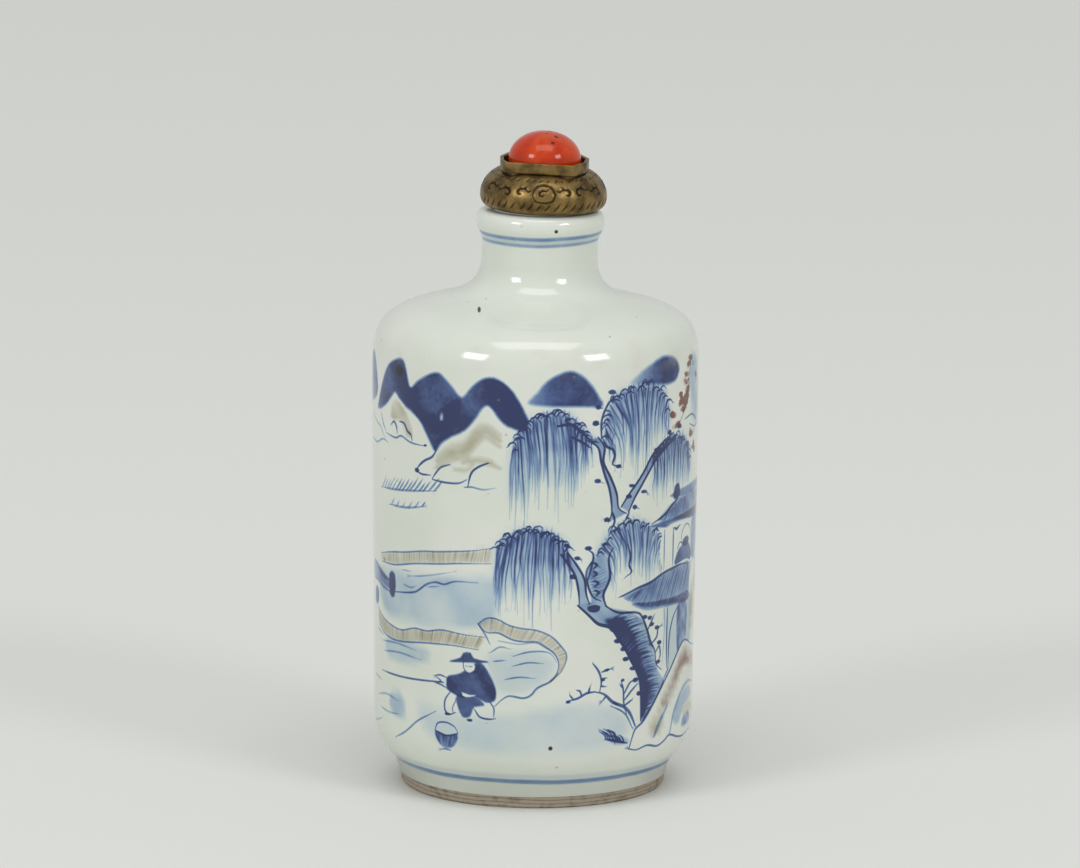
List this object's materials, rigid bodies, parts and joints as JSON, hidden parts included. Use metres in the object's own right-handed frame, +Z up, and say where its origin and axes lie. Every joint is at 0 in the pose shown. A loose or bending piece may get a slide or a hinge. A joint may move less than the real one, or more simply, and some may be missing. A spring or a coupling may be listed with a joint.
{
  "type": "porcelain snuff bottle",
  "caption": "Small cylindrical porcelain bottle with short neck, painted landscape, and a resting brass and coral stopper.",
  "frame": {"origin": "centre of the foot ring, on the surface that the bottle stands on", "axes": "+Z up along the body, -Y towards the front of the painted wall, +X to the right of it"},
  "size_m": [0.0372, 0.0372, 0.0752],
  "materials": {
    "porcelain": "clear high-fired glaze over cobalt and copper painting, with an unglazed foot ring",
    "brass": "engraved sheet with brown patina, brighter where it is rubbed",
    "coral": "polished, with small dark pits"
  },
  "bodies": {
    "root": {"bottle": "porcelain", "stopper_collar": "brass", "stopper_bezel": "brass", "coral_cabochon": "coral"}
  },
  "joints": []
}
